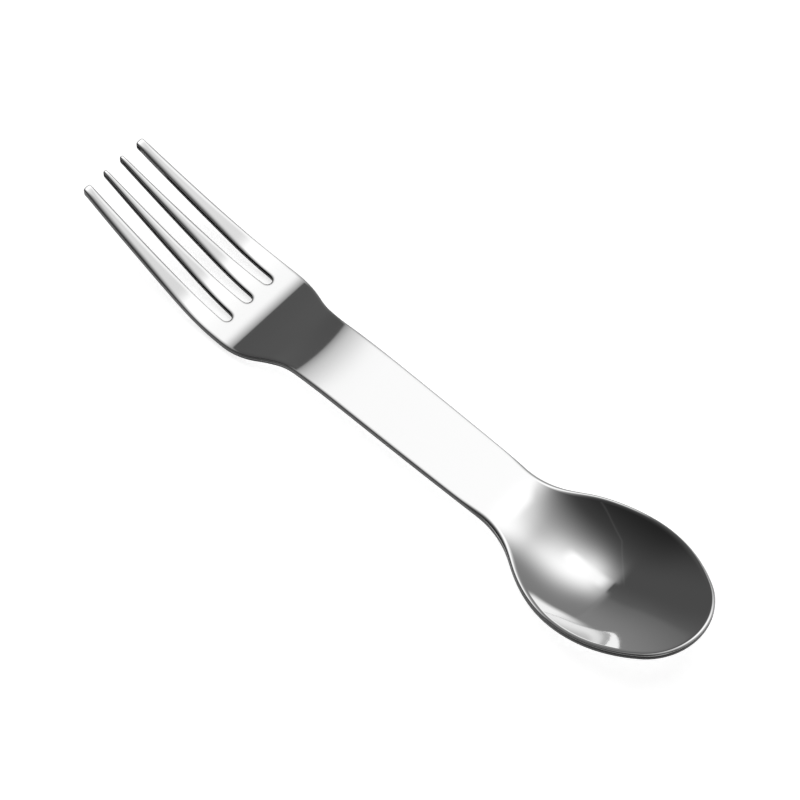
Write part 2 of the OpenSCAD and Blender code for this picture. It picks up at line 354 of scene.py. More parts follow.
@dataclass(frozen=True)
class Bowl:
    """The oval spoon bowl.

    Places given by front, end, from and full are distances from its end, but the crown's are
    distances from its entry. A section across rises with the power across: 2 is a parabola.
    """

    width: float = 33.98
    front: float = 24.6
    end_r: float = 13.7
    back_r: float = 32.4
    hollow_r: float = 22.0
    straight: float = 1.95
    entry_end: float = 55.0
    entry_r: float = 29.5
    floor_r: float = 35.2
    rise_r: float = 29.8
    rim_rise_end: float = 36.1
    rim_r: float = 45.0
    rim: float = math.radians(11.5)
    across: float = 2.14
    across_end: float = 1.85
    across_from: float = 22.0
    across_full: float = 8.0
    crown: Crown = Crown(1.20, 0.85, 2.0)
    crown_from: float = 6.0
    crown_full: float = 8.0

    def rim_view(self, sheet: Sheet, handle_z: float) -> Profile:
        """Height of the rim, seen from the side.

        Args:
            sheet: the steel of the spork.
            handle_z: height of the top face of the handle.

        Returns:
            The level rim and the rise at its end.
        """
        rise_at = sheet.half - self.rim_rise_end
        rise = Run(rise_at, handle_z, 0, 1 / self.rim_r)
        return Profile((Run(-sheet.half, handle_z), rise,
                        rise.then(rise_at + self.rim_r * math.sin(self.rim))))

    def middle_view(self, sheet: Sheet, handle_z: float, rise: float) -> Profile:
        """Height of the bowl along its middle line, seen from the side.

        Args:
            sheet: the steel of the spork.
            handle_z: height of the top face of the handle.
            rise: height of the handle over the floor of the bowl.

        Returns:
            The entry, the floor and the rise to the end.
        """
        entry_at = sheet.half - self.entry_end
        angle = bend_angle(rise, self.entry_r + self.floor_r, 0)
        descent_at = entry_at + self.entry_r * math.sin(angle)
        floor_at = descent_at + self.floor_r * math.sin(angle)
        reach = sheet.half - floor_at
        end_rise = self.rim_view(sheet, handle_z).offset(sheet.half) - handle_z + rise
        over = self.rise_r - end_rise
        climb = math.asin(self.rise_r / math.hypot(reach, over)) - math.atan2(over, reach)
        entry = Run(entry_at, handle_z, 0, -1 / self.entry_r)
        floor = Run(floor_at, handle_z - rise, 0, 1 / self.rise_r)
        return Profile((entry, entry.then(descent_at, 1 / self.floor_r), floor,
                        floor.then(floor_at + self.rise_r * math.sin(climb))))

    @property
    def side_r(self) -> float:
        """Radius of the side between the widest part and the round end."""
        return ((self.front ** 2 + (self.width / 2) ** 2 - 2 * self.front * self.end_r)
                / (self.width - 2 * self.end_r))

    def end_angle(self) -> float:
        """Half the angle of the round end."""
        return math.atan2(self.side_r - self.width / 2, self.front - self.end_r)

    def end_at(self, sheet: Sheet) -> float:
        """Place along the strip where the side runs into the round end."""
        return sheet.half - self.end_r * (1 - math.cos(self.end_angle()))

    def outline(self, sheet: Sheet, handle: Handle) -> tuple[Run, ...]:
        """Side of the bowl from the waist of the handle to its round end, seen from above.

        Args:
            sheet: the steel of the spork.
            handle: the handle that the bowl flares out of.

        Returns:
            The runs from the waist to the round end.
        """
        waist_half = handle.waist_w / 2
        angle = bend_angle(
            self.width / 2 - waist_half + self.hollow_r * (1 - math.cos(handle.waist)),
            self.back_r + self.hollow_r, self.straight)
        widest = sheet.half - self.front
        back_at = widest - self.back_r * math.sin(angle)
        hollow_at = back_at - self.straight * math.cos(angle)
        waist_at = hollow_at - self.hollow_r * (math.sin(angle) + math.sin(handle.waist))
        waist = Run(waist_at, waist_half, -handle.waist, 1 / self.hollow_r)
        flare = waist.then(hollow_at)
        side = Run(widest, self.width / 2, 0, -1 / self.side_r)
        return waist, flare, flare.then(back_at, -1 / self.back_r), side, side.then(
            self.end_at(sheet), -1 / self.end_r)


class Band(Enum):
    """What a band of columns across the strip becomes in the fork."""

    TINE = "tine"
    SLOT = "slot"


@dataclass(frozen=True)
class Row:
    """A row of points across the strip.

    Attributes:
        along: place along the strip where the row meets the side.
        bow: half angle of the arc that the row follows towards the bowl's end.
        tip_bow: half angle of the arc of each tine's share of the row.
        slot_bow: half angle of the arc of each slot's share of the row.
        slotted: whether the slots are open between this row and the next.
    """

    along: float
    bow: float = 0.0
    tip_bow: float = 0.0
    slot_bow: float = 0.0
    slotted: bool = False


@dataclass(frozen=True)
class Grid:
    """How finely the strip is divided.

    Attributes:
        tip_rows: distance from the tips and half angle in degrees of each row there.
        tines_from: distance from the tips at which the even rows of the tines start.
        root_rows: distance from the ends of the slots and half angle of each row there.
        neck_from: distance from the ends of the slots at which the even rows start again.
        back_rows: rows of the bowl behind its widest part.
        front_rows: rows of the bowl past its widest part.
        wall_shares: places of the rows down the cut edge.
    """

    tine_columns: int = 6
    slot_columns: int = 6
    tip_rows: tuple[tuple[float, float], ...] = ((0.02, 10), (0.32, 8), (0.72, 6), (1.27, 3))
    tines_from: float = 2.8
    tine_rows: int = 27
    root_rows: tuple[tuple[float, float], ...] = (
        (0, 90), (1.15, 64), (2.0, 40), (2.8, 20), (3.6, 6))
    neck_from: float = 4.4
    neck_rows: int = 42
    strap_rows: int = 16
    back_rows: int = 30
    front_rows: int = 20
    corner_steps: int = 6
    wall_shares: tuple[float, ...] = (0.06, 0.25, 0.5, 0.75, 0.94)


@dataclass(frozen=True)
class EdgeMarks:
    """The attributes wall and dark, by which the finish knows the edge of the sheet. The
    attribute dark carries the painted shade of its cut edge.

    Attributes:
        corner: wall where the top corner ends.
        high: wall where the cut edge starts, which grows by growth on the way down.
        late: how late wall grows on a corner.
        slot_reach: how far past the ends of the slots the painted shade of the edge is darkest.
        side_margin: how far inside the outline it starts to be darkest.
        strap: painted shade of the edge on the rest of the fork and on the strap.
        bowl: painted shade of the edge round the bowl, which is reached bowl_fade past its entry.
    """

    corner: float = 0.4
    high: float = 0.7
    growth: float = 0.4
    late: int = 4
    slot_reach: float = 2.0
    side_margin: float = 1.6
    strap: float = 0.25
    bowl: float = 0.50
    bowl_fade: float = 12.0

    def wall(self, t: float, down: float) -> float:
        """How far over the edge a point is.

        Args:
            t: place on a rounded corner, from 0 on the face to 1 on the cut edge.
            down: 0 for the top corner, 1 for the bottom corner, between them for the edge.

        Returns:
            Its wall, which is 0 on the faces.
        """
        if 0 < down < 1:
            return self.high + self.growth * down
        return (self.corner + (1 - self.corner) * down) * t ** self.late


@dataclass
class PressedStrip:
    """The whole spork as one strip of sheet, fork, neck, handle and bowl together.

    Attributes:
        least_share: share of a tine's half width that its rounded edge may take at most.
        sharpest: how far a corner of the edge may stand out, as a mitre does.
        under_drop: how far the corners of the bottom face rise at most.
    """

    sheet: Sheet = field(default_factory=Sheet)
    fork: Fork = field(default_factory=Fork)
    neck: Neck = field(default_factory=Neck)
    handle: Handle = field(default_factory=Handle)
    bowl: Bowl = field(default_factory=Bowl)
    grid: Grid = field(default_factory=Grid)
    marks: EdgeMarks = field(default_factory=EdgeMarks)
    least_share: float = 0.85
    sharpest: float = 1.28
    under_drop: float = 0.12

    def __post_init__(self) -> None:
        """Works out the side view, the outline and the rows from the sizes."""
        sheet, fork, neck, bowl = self.sheet, self.fork, self.neck, self.bowl
        self.handle_z = sheet.thickness + neck.rise
        side = fork.side_view(sheet) + neck.side_view(sheet, fork)
        self.strap = Profile(side)
        self.rim = bowl.rim_view(sheet, self.handle_z)
        self.middle = bowl.middle_view(sheet, self.handle_z, neck.rise)
        self.handle_at, taper_at = side[-1].start, side[-2].start
        self.entry_at = sheet.half - bowl.entry_end
        waist = bowl.outline(sheet, self.handle)
        flat = waist[0].start - taper_at
        half_w = self.handle.waist_w / 2 + flat * math.tan(self.handle.waist / 2)
        strap_side = Run(taper_at, half_w, 0, -math.sin(self.handle.waist) / flat)
        self.outline = Profile(fork.outline(sheet) + neck.outline(sheet, fork, half_w)
                               + (strap_side,) + waist)
        self.bands = [Band.TINE, Band.SLOT] * fork.slots + [Band.TINE]
        self.slot_end = fork.slot_length - fork.slot_root_w / 2 - sheet.half
        self.rows = self._rows()

    def top(self, x: float, y: float) -> float:
        """Height of the top face over a place in plan.

        Args:
            x: place along the strip.
            y: place across it.

        Returns:
            The height in millimetres.
        """
        neck, fork, bowl, half = self.neck, self.fork, self.bowl, self.sheet.half
        if x < self.entry_at:
            crest = ease(self.handle_at - neck.bow_from, self.handle_at - neck.bow_full, x) * ease(
                self.handle_at, self.handle_at - neck.bow_until, x)
            share = min(abs(y) / (self.handle.waist_w / 2), neck.bow_limit)
            dip = max(0.0, 1 - (x + half) / fork.tip_dip_length)
            return (self.strap.offset(x + neck.bow * crest * share ** 2)
                    - fork.tip_dip * dip * dip)
        rim, middle = self.rim.offset(x), self.middle.offset(x)
        half_w = max(self.outline.offset(min(x, half)), bowl.crown.drop)
        across = bowl.across + (bowl.across_end - bowl.across) * ease(
            half - bowl.across_from, half - bowl.across_full, x)
        return middle + (rim - middle) * min(abs(y) / half_w, 1.0) ** across

    def slope(self, x: float, y: float) -> Vector:
        """Slope of the top face along the strip and across it.

        Args:
            x: place along the strip.
            y: place across it.

        Returns:
            The two slopes.
        """
        step = 0.05
        return Vector((self.top(x + step, y) - self.top(x - step, y),
                       self.top(x, y + step) - self.top(x, y - step))) / (2 * step)

    def depth(self, x: float, y: float) -> float:
        """How far straight down the bottom face lies under the top face."""
        slope = self.slope(x, y)
        return self.sheet.thickness * math.sqrt(1 + slope.length_squared)

    def _rows(self) -> list[Row]:
        """Rows from the tips of the tines to the end of the bowl.

        Returns:
            The rows, in order along the strip.
        """
        half, bowl, grid, slot_end = self.sheet.half, self.bowl, self.grid, self.slot_end
        widest, end_at = half - bowl.front, bowl.end_at(self.sheet)
        tips = [Row(x - half, tip_bow=math.radians(bow), slotted=True) for x, bow in grid.tip_rows]
        tines = [Row(x, slotted=True) for x in
                 spread(grid.tines_from - half, slot_end, grid.tine_rows)]
        roots = [Row(slot_end + x, slot_bow=math.radians(bow)) for x, bow in grid.root_rows]
        neck = [Row(x) for x in spread(slot_end + grid.neck_from, self.handle_at, grid.neck_rows)]
        strap = [Row(x) for x in spread(self.handle_at, self.entry_at, grid.strap_rows)]
        back = [Row(x) for x in spread(self.entry_at, widest, grid.back_rows)]
        count = grid.front_rows
        front = [Row(widest + (end_at - widest) * k / count, bowl.end_angle() * k / count)
                 for k in range(count + 1)]
        return tips + tines + roots + neck + strap + back + front

    def _columns(self) -> list[tuple[int, float]]:
        """Band and place within it, from -1 to 1, of each column but the last.

        Returns:
            Index of the band and place in it for each column.
        """
        out = []
        for b, band in enumerate(self.bands):
            count = self.grid.tine_columns if band is Band.TINE else self.grid.slot_columns
            out += [(b, 2 * k / count - 1) for k in range(count)]
        return out

    def _tines(self, along: float) -> list[tuple[float, float]]:
        """True sides of the tines at a place along the strip.

        Args:
            along: place along the strip.

        Returns:
            The lower and higher side of each tine.
        """
        pitch, half = self.fork.slot(along, self.sheet)
        side = self.outline.offset(along)
        middles = [(k - (self.fork.slots - 1) / 2) * pitch for k in range(self.fork.slots)]
        sides = [-side] + [middle + d for middle in middles for d in (-half, half)] + [side]
        return list(zip(sides[::2], sides[1::2]))

    def crown(self, along: float) -> Crown:
        """Rounded edge at a place along the strip.

        Args:
            along: place along the strip.

        Returns:
            The crown there.
        """
        fork, bowl, half = self.fork, self.bowl, self.sheet.half
        in_fork = ease(self.slot_end - fork.crown_from, self.slot_end - fork.crown_full, along)
        in_bowl = ease(self.entry_at - bowl.crown_from, self.entry_at + bowl.crown_full, along)
        at_tip = ease(fork.tip_crown_from - half, fork.tip_crown_full - half, along)
        tines = fork.crown.toward(fork.tip_crown, at_tip)
        return self.handle.crown.toward(tines, in_fork).toward(bowl.crown, in_bowl)

    def tine_crown(self, along: float, low: float, high: float) -> Crown:
        """Rounded edge of a tine, which fits between the tine's two sides."""
        return self.crown(along).within(self.least_share * (high - low) / 2)

    def _side(self, along: float) -> Vector:
        """Place in plan where the top face meets the rounded edge of the far side.

        Args:
            along: place along the strip.

        Returns:
            Its x and y in millimetres.
        """
        angle = -self.outline.angle(along)
        reach = self.crown(along).reach
        return Vector((along - reach * math.sin(angle),
                       self.outline.offset(along) - reach * math.cos(angle)))

    def _edges(self, along: float) -> list[float]:
        """Sides of the bands across the strip, in the fork, where the edges start.

        Args:
            along: place along the strip.

        Returns:
            The places across the strip, in order.
        """
        out = []
        for low, high in self._tines(along):
            reach = self.tine_crown(along, low, high).reach
            out += [low + reach, high - reach]
        return out

    def place(self, row: Row, band: int, within: float) -> Vector:
        """Place in plan of a grid point.

        Args:
            row: the row it is on.
            band: index of its band of columns.
            within: its place in the band, from -1 to 1.

        Returns:
            Its x and y in millimetres.
        """
        if row.along <= self.slot_end:
            return self._fork_place(row, band, within)
        root = self._edges(self.slot_end)
        side = self._side(row.along)
        low, high = root[band] / root[-1], root[band + 1] / root[-1]
        share = low + (high - low) * (within + 1) / 2
        whole = (band + (within + 1) / 2) / len(self.bands)
        even = math.sin(math.pi / 2 * (whole * 2 - 1))
        blend = ease(self.slot_end, self.handle_at, row.along)
        v = share + (even - share) * blend
        x, y = side.x, side.y * v
        if row.slot_bow and self.bands[band] is Band.SLOT:
            half = side.y * (high - low) / 2
            middle = side.y * (high + low) / 2
            x += arc_rise(half, row.slot_bow, within)
            y = y * blend + (middle + arc_run(half, row.slot_bow, within)) * (1 - blend)
        if row.bow:
            x, y = side.x + arc_rise(side.y, row.bow, v), arc_run(side.y, row.bow, v)
        return Vector((x, y))

    def _fork_place(self, row: Row, band: int, within: float) -> Vector:
        """Place in plan of a grid point on a tine or in a slot.

        Args:
            row: the row it is on.
            band: index of its band of columns.
            within: its place in the band, from -1 to 1.

        Returns:
            Its x and y in millimetres.
        """
        tine = self.bands[band] is Band.TINE
        x = row.along
        if tine and row.tip_bow:
            low, high = self._tines(-self.sheet.half)[band // 2]
            reach = self.tine_crown(-self.sheet.half, low, high).reach
            x += reach + arc_rise((high - low) / 2 - reach, row.tip_bow, 0)
        edges = self._edges(x)
        low, high = edges[band], edges[band + 1]
        half, middle = (high - low) / 2, (high + low) / 2
        bow = row.tip_bow if tine else row.slot_bow
        if not bow:
            return Vector((x, middle + half * within))
        rise = arc_rise(half, bow, within)
        return Vector((x - rise if tine else x + rise, middle + arc_run(half, bow, within)))

    def build(self) -> bpy.types.Object:
        """Builds the strip as one closed mesh.

        Returns:
            The object of the strip.
        """
        bm = bmesh.new()
        columns = self._columns()
        n, m = len(self.rows) - 1, len(columns)
        bmesh.ops.create_grid(bm, x_segments=n, y_segments=m, size=1.0)
        open_faces = []
        for face in bm.faces:
            centre = face.calc_center_median()
            i = int((centre.x + 1) / 2 * n)
            j = int((centre.y + 1) / 2 * m)
            if self.rows[i].slotted and self.bands[columns[j][0]] is Band.SLOT:
                open_faces.append(face)
        for vert in bm.verts:
            i = round((vert.co.x + 1) / 2 * n)
            j = round((vert.co.y + 1) / 2 * m)
            band, within = columns[j] if j < m else (len(self.bands) - 1, 1.0)
            if within == -1 and band and self.bands[band] is Band.SLOT:
                band, within = band - 1, 1.0
            spot = self.place(self.rows[i], band, within)
            vert.co = (spot.x, spot.y, self.top(spot.x, spot.y))
        bmesh.ops.delete(bm, geom=open_faces, context="FACES")
        # wall gives the place on the edge, dark the painted shade of the cut edge
        wall, dark = (bm.verts.layers.float.new(name) for name in ("wall", "dark"))
        self._give_thickness(bm, wall, dark)
        bmesh.ops.recalc_face_normals(bm, faces=bm.faces)
        bmesh.ops.scale(bm, vec=(MM, MM, MM), verts=bm.verts)
        return finish_mesh("steel_strip", bm)

    def _outward(self, bm: bmesh.types.BMesh) -> dict[bmesh.types.BMVert, Vector]:
        """Direction in plan in which each point of the edge faces, longer at a corner.

        Args:
            bm: the mesh, which holds only the top face.

        Returns:
            The direction of each point of the edge.
        """
        out: dict[bmesh.types.BMVert, Vector] = {}
        for edge in bm.edges:
            if len(edge.link_faces) != 1:
                continue
            a, b = (vert.co.xy for vert in edge.verts)
            normal = Vector((b.y - a.y, a.x - b.x)).normalized()
            inner = edge.link_faces[0].calc_center_median().xy
            if normal.dot(inner - a) > 0:
                normal.negate()
            for vert in edge.verts:
                out[vert] = out.get(vert, Vector((0, 0))) + normal
        return {vert: normal.normalized() * min(2 / normal.length, self.sharpest)
                for vert, normal in out.items()}

    def _painted_shade(self, spot: Vector) -> float:
        """Painted shade of the cut edge: darkest beside a slot, less round the strap and the bowl.

        Args:
            spot: where the top face ends and the edge starts.

        Returns:
            Its painted shade, from 0 to 1.
        """
        marks = self.marks
        inside = self.outline.offset(spot.x) - marks.side_margin
        if spot.x < self.slot_end + marks.slot_reach and abs(spot.y) < inside:
            return 1.0
        return marks.strap + (marks.bowl - marks.strap) * ease(
            self.entry_at, self.entry_at + marks.bowl_fade, spot.x)

    def _give_thickness(self, bm: bmesh.types.BMesh, wall: bmesh.types.BMLayerItem,
                        dark: bmesh.types.BMLayerItem) -> None:
        """Turns the top face into a closed sheet with rounded edges.

        Args:
            bm: the mesh, which holds only the top face.
            wall: layer that says how far over the edge each point is.
            dark: layer of the painted shade of the cut edge there.
        """
        outward = self._outward(bm)
        under = bmesh.ops.duplicate(
            bm, geom=list(bm.faces) + list(bm.edges) + list(bm.verts))
        rim = {vert: (vert.co.copy(), normal) for vert, normal in outward.items()}
        ring = [edge for edge in bm.edges if len(edge.link_faces) == 1
                and edge.verts[0] in rim and edge.verts[1] in rim]
        for item in under["geom"]:
            if isinstance(item, bmesh.types.BMVert):
                item.co.z -= self.depth(item.co.x, item.co.y)
        bmesh.ops.reverse_faces(
            bm, faces=[g for g in under["geom"] if isinstance(g, bmesh.types.BMFace)])
        steps = self.grid.corner_steps
        profile = [(k / steps, 0.0) for k in range(1, steps + 1)]
        profile += [(1.0, down) for down in self.grid.wall_shares]
        profile += [(1 - k / steps, 1.0) for k in range(steps + 1)]
        source = rim
        for t, down in profile:
            grown = bmesh.ops.extrude_edge_only(bm, edges=ring)["geom"]
            fresh = [g for g in grown if isinstance(g, bmesh.types.BMVert)]
            ring = [g for g in grown if isinstance(g, bmesh.types.BMEdge)
                    and all(v not in source for v in g.verts)]
            moved = {}
            for vert in fresh:
                old = next(e.other_vert(vert) for e in vert.link_edges
                           if e.other_vert(vert) in source)
                base, normal = source[old]
                moved[vert] = (base, normal)
                vert.co = self._edge_point(base, normal, t, down)
                vert[wall] = self.marks.wall(t, down)
                # painted shade of the cut edge, which the finish reads
                vert[dark] = self._painted_shade(base)
            source = moved
        bmesh.ops.remove_doubles(bm, verts=bm.verts, dist=WELD)

    def _edge_point(self, base: Vector, normal: Vector, t: float, down: float) -> Vector:
        """Point on the rounded edge of the sheet.

        Args:
            base: where the top face ends and the edge starts.
            normal: direction in plan in which the edge faces.
            t: place on a rounded corner, from 0 on the face to 1 on the cut edge.
            down: 0 for the top corner, 1 for the bottom corner, between them for the edge.

        Returns:
            The point in millimetres.
        """
        crown = self.crown(base.x)
        if base.x < self.slot_end + NEAR:
            for low, high in self._tines(base.x):
                if low - NEAR <= base.y <= high + NEAR:
                    crown = self.tine_crown(base.x, low, high)
        across = math.sin(math.pi / 2 * t)
        rise = crown.reach * self.slope(base.x, base.y).dot(normal)
        depth = self.depth(base.x, base.y)
        under = min(crown.drop, self.under_drop)
        out = base.xy + normal * crown.reach * across
        if 0 < down < 1:
            high, low = base.z + rise - crown.drop, base.z + rise - depth + under
            return Vector((out.x, out.y, high + (low - high) * down))
        turned = crown.turned(across)
        fall = depth - under * turned if down else crown.drop * turned
        return Vector((out.x, out.y, base.z + rise * across - fall))


def arc_rise(half: float, bow: float, within: float) -> float:
    """How far an arc over a chord stands out at a place from -1 to 1 along it."""
    return half * (math.cos(bow * within) - math.cos(bow)) / math.sin(bow)


def arc_run(half: float, bow: float, within: float) -> float:
    """How far along its chord an arc has come at a place from -1 to 1 along it."""
    return half * math.sin(bow * within) / math.sin(bow)


def finish_mesh(name: str, bm: bmesh.types.BMesh) -> bpy.types.Object:
    """Turns a bmesh into a smooth-shaded object at the origin.

    Args:
        name: name of the object.
        bm: the mesh, which is freed.

    Returns:
        The object, linked to the scene.
    """
    mesh = bpy.data.meshes.new(name)
    bm.to_mesh(mesh)
    bm.free()
    mesh.shade_smooth()
    obj = bpy.data.objects.new(name, mesh)
    bpy.context.scene.collection.objects.link(obj)
    return obj


# Shader maths as Python expressions

# Sides of a stretch of values, each as where it is none and where it is full
Sides = tuple[tuple[float, float], ...]

# Red, green and blue
Colour = tuple[float, float, float]


def joined(operation: str, swapped: bool = False) -> "Callable[[Wire, Wire | float], Wire]":
    """Makes an operator of wires out of a Math node.

    Args:
        operation: what the node does with its two values.
        swapped: whether the wire is the second of them.

    Returns:
        The operator, which takes a wire and another value.
    """
    def join(wire: "Wire", other: "Wire | float") -> "Wire":
        """Result of the operation on the wire and the other value."""
        pair = (other, wire) if swapped else (wire, other)
        return wire.bench.node("ShaderNodeMath", {"operation": operation}, pair)

    return join


class Wire:
    """One output of a shader node, which joins in sums, products and powers."""

    __add__ = __radd__ = joined("ADD")
    __mul__ = __rmul__ = joined("MULTIPLY")
    __sub__, __rsub__ = joined("SUBTRACT"), joined("SUBTRACT", swapped=True)
    __truediv__, __rtruediv__ = joined("DIVIDE"), joined("DIVIDE", swapped=True)
    __pow__, __rpow__ = joined("POWER"), joined("POWER", swapped=True)
    least = joined("MINIMUM")

    def __init__(self, bench: "Bench", socket: bpy.types.NodeSocket | None) -> None:
        """Keeps the bench that makes further nodes, and the socket."""
        self.bench = bench
        self.socket = socket

    def ramp(self, low: float, high: float, start: float = 0.0, end: float = 1.0,
             smooth: bool = True) -> "Wire":
        """Change from start to end while this value goes from low to high.

        Args:
            low: value at which the change starts.
            high: value at which it ends.
            start: result up to low.
            end: result from high on.
            smooth: whether the change starts and ends gently.

        Returns:
            The result.
        """
        kind = "SMOOTHSTEP" if smooth else "LINEAR"
        return self.bench.node("ShaderNodeMapRange", {"interpolation_type": kind},
                               (self, low, high, start, end))

    def inside(self, sides: Sides) -> "Wire | float":
        """1 where this value is past all the sides and 0 where it is outside one of them.

        Args:
            sides: the sides of the stretch.

        Returns:
            The share, which is a plain 1 without sides.
        """
        share: Wire | float = 1.0
        for none_at, full_at in sides:
            share = self.ramp(none_at, full_at) * share
        return share

    def other(self, output: str | int) -> "Wire":
        """Another output of the same node."""
        return Wire(self.bench, self.socket.node.outputs[output])


class Bench:
    """Node tree of one material or world, with one method that makes every node."""

    def __init__(self, holder: bpy.types.Material | bpy.types.World) -> None:
        """Turns the nodes of a material or world on and empties its tree.

        Args:
            holder: the material or world.
        """
        holder.use_nodes = True
        self.tree = holder.node_tree
        self.tree.nodes.clear()

    def node(self, kind: str, settings: dict | None = None,
             inputs: tuple | dict = (), output: str | int = 0) -> Wire:
        """Makes a node.

        Args:
            kind: type of the node.
            settings: its settings, which are set before its sockets.
            inputs: values or wires of its sockets, in order or by name.
            output: name or index of the output wanted.

        Returns:
            The wire of that output.
        """
        made = self.tree.nodes.new(kind)
        for name, value in (settings or {}).items():
            setattr(made, name, value)
        pairs = inputs.items() if isinstance(inputs, dict) else enumerate(inputs)
        for key, value in pairs:
            if isinstance(value, Wire):
                self.tree.links.new(value.socket, made.inputs[key])
            else:
                made.inputs[key].default_value = value
        if not made.outputs:
            return Wire(self, None)
        return Wire(self, made.outputs[output])

    def blend(self, share: Wire, first: "Wire | tuple", second: "Wire | tuple") -> Wire:
        """Mixes two colours: the first at share 0 and the second at share 1.

        Args:
            share: how much of the second.
            first: a colour.
            second: another colour.

        Returns:
            The mixed colour.
        """
        first, second = (value if isinstance(value, Wire) else (*value, 1)
                         for value in (first, second))
        return self.node("ShaderNodeMix", {"data_type": "RGBA"}, {
            "Factor": share, "A": first, "B": second}, "Result")


# Finishes

class Finish:
    """Material of one kind of surface, to which each kind adds its own shader."""

    name: str

    def shader(self, bench: Bench) -> Wire:
        """Adds the nodes of the finish and gives its shader."""
        raise NotImplementedError

    def make(self) -> bpy.types.Material:
        """Makes the material.

        Returns:
            The material, ready for a piece.
        """
        material = bpy.data.materials.new(self.name)
        bench = Bench(material)
        bench.node("ShaderNodeOutputMaterial", {}, {"Surface": self.shader(bench)})
        return material


@dataclass(frozen=True)
class PolishedSteel(Finish):
    """Stainless steel polished along the strip, duller on its cut edge, with painted shade there.

    The cut edge has the painted shade of tint edge and, low on it, a painted reflection line of
    tint line, but beside the slots they are slot_edge and slot_line. The tines have the lighter
    tint tine, a painted brighter reflection. Each noise has its detail and roughness.
    """

    name: str = "polished_steel"
    face: Colour = (0.78, 0.78, 0.78)
    # Lighter tint of the tines, a painted brighter reflection
    tine: Colour = (0.88, 0.88, 0.88)
    painted_sheen_span: tuple[float, float] = (-0.054, -0.078)
    edge_side: tuple[float, float] = (0.02, 0.30)
    line_sides: Sides = ((0.89, 0.92), (0.98, 0.95))
    # Painted shade of the cut edge, darkest beside the slots, and its painted reflection line
    edge: Colour = (0.02, 0.02, 0.02)
    slot_edge: Colour = (0.003, 0.003, 0.003)
    line: Colour = (0.10, 0.10, 0.102)
    slot_line: Colour = (0.06, 0.06, 0.061)
    gloss: float = 0.052
    edge_gloss: float = 0.24
    grain: float = 0.04
    grain_scale: tuple[float, float, float] = (60, 2600, 2600)
    grain_noise: tuple[float, float] = (4.0, 0.6)
    grain_depth: float = 0.000002
    grain_bump: float = 0.35
    smear: float = 0.02
    smear_scale: float = 45.0
    smear_noise: tuple[float, float] = (3.0, 0.5)

    def shader(self, bench: Bench) -> Wire:
        """Shader of the steel.

        Args:
            bench: bench of the material.

        Returns:
            The shader.
        """
        spot = bench.node("ShaderNodeTexCoord", output="Object")
        wall, dark = (bench.node("ShaderNodeAttribute", {"attribute_name": name}, output="Fac")
                      for name in ("wall", "dark"))
        drawn = bench.node("ShaderNodeMapping", {}, {"Vector": spot, "Scale": self.grain_scale})
        grain = self._noise(bench, drawn, 1.0, self.grain_noise)
        smear = self._noise(bench, spot, self.smear_scale, self.smear_noise)
        edge = wall.ramp(*self.edge_side)
        rough = (self.gloss + self.grain * grain + self.smear * smear
                 + (self.edge_gloss - self.gloss) * edge)
        # Painted reflection line low on the cut edge
        line = wall.inside(self.line_sides)
        # Painted shade of the cut edge, darkest beside the slots, with the painted reflection line
        painted_edge_shade = bench.blend(line, bench.blend(dark, self.edge, self.slot_edge),
                           bench.blend(dark, self.line, self.slot_line))
        x = bench.node("ShaderNodeSeparateXYZ", {}, (spot,), "X")
        # Painted brighter reflection: the tint gets lighter toward the tines
        bright = bench.blend(x.ramp(*self.painted_sheen_span), self.face, self.tine)
        tint = bench.blend(edge, bright, painted_edge_shade)
        # Less metal where the edge has painted shade, so it reflects little there
        metal = 1 - edge * dark * (1 - line)
        bump = bench.node("ShaderNodeBump", {}, {
            "Strength": self.grain_bump, "Distance": self.grain_depth, "Height": grain})
        return bench.node("ShaderNodeBsdfPrincipled", {}, {
            "Base Color": tint, "Metallic": metal, "Roughness": rough,
            "Specular IOR Level": 0.0, "Normal": bump})

    @staticmethod
    def _noise(bench: Bench, place: Wire, scale: float, kind: tuple[float, float]) -> Wire:
        """Noise round 0, of a given detail and roughness.

        Args:
            bench: bench of the material.
            place: where the noise is read.
            scale: how fine it is.
            kind: its detail and roughness.

        Returns:
            The noise.
        """
        detail, roughness = kind
        return bench.node("ShaderNodeTexNoise", {}, {
            "Vector": place, "Scale": scale, "Detail": detail, "Roughness": roughness}) - 0.5


@dataclass(frozen=True)
class Patch:
    """A patch of light on the inside of the tent, with its sides along and across the spork."""

    level: float
    along: Sides = ()
    across: Sides = ()

    def light(self, a: Wire, b: Wire) -> Wire | float:
        """Light of the patch at a place in the tent, given along and across."""
        return a.inside(self.along) * b.inside(self.across) * self.level


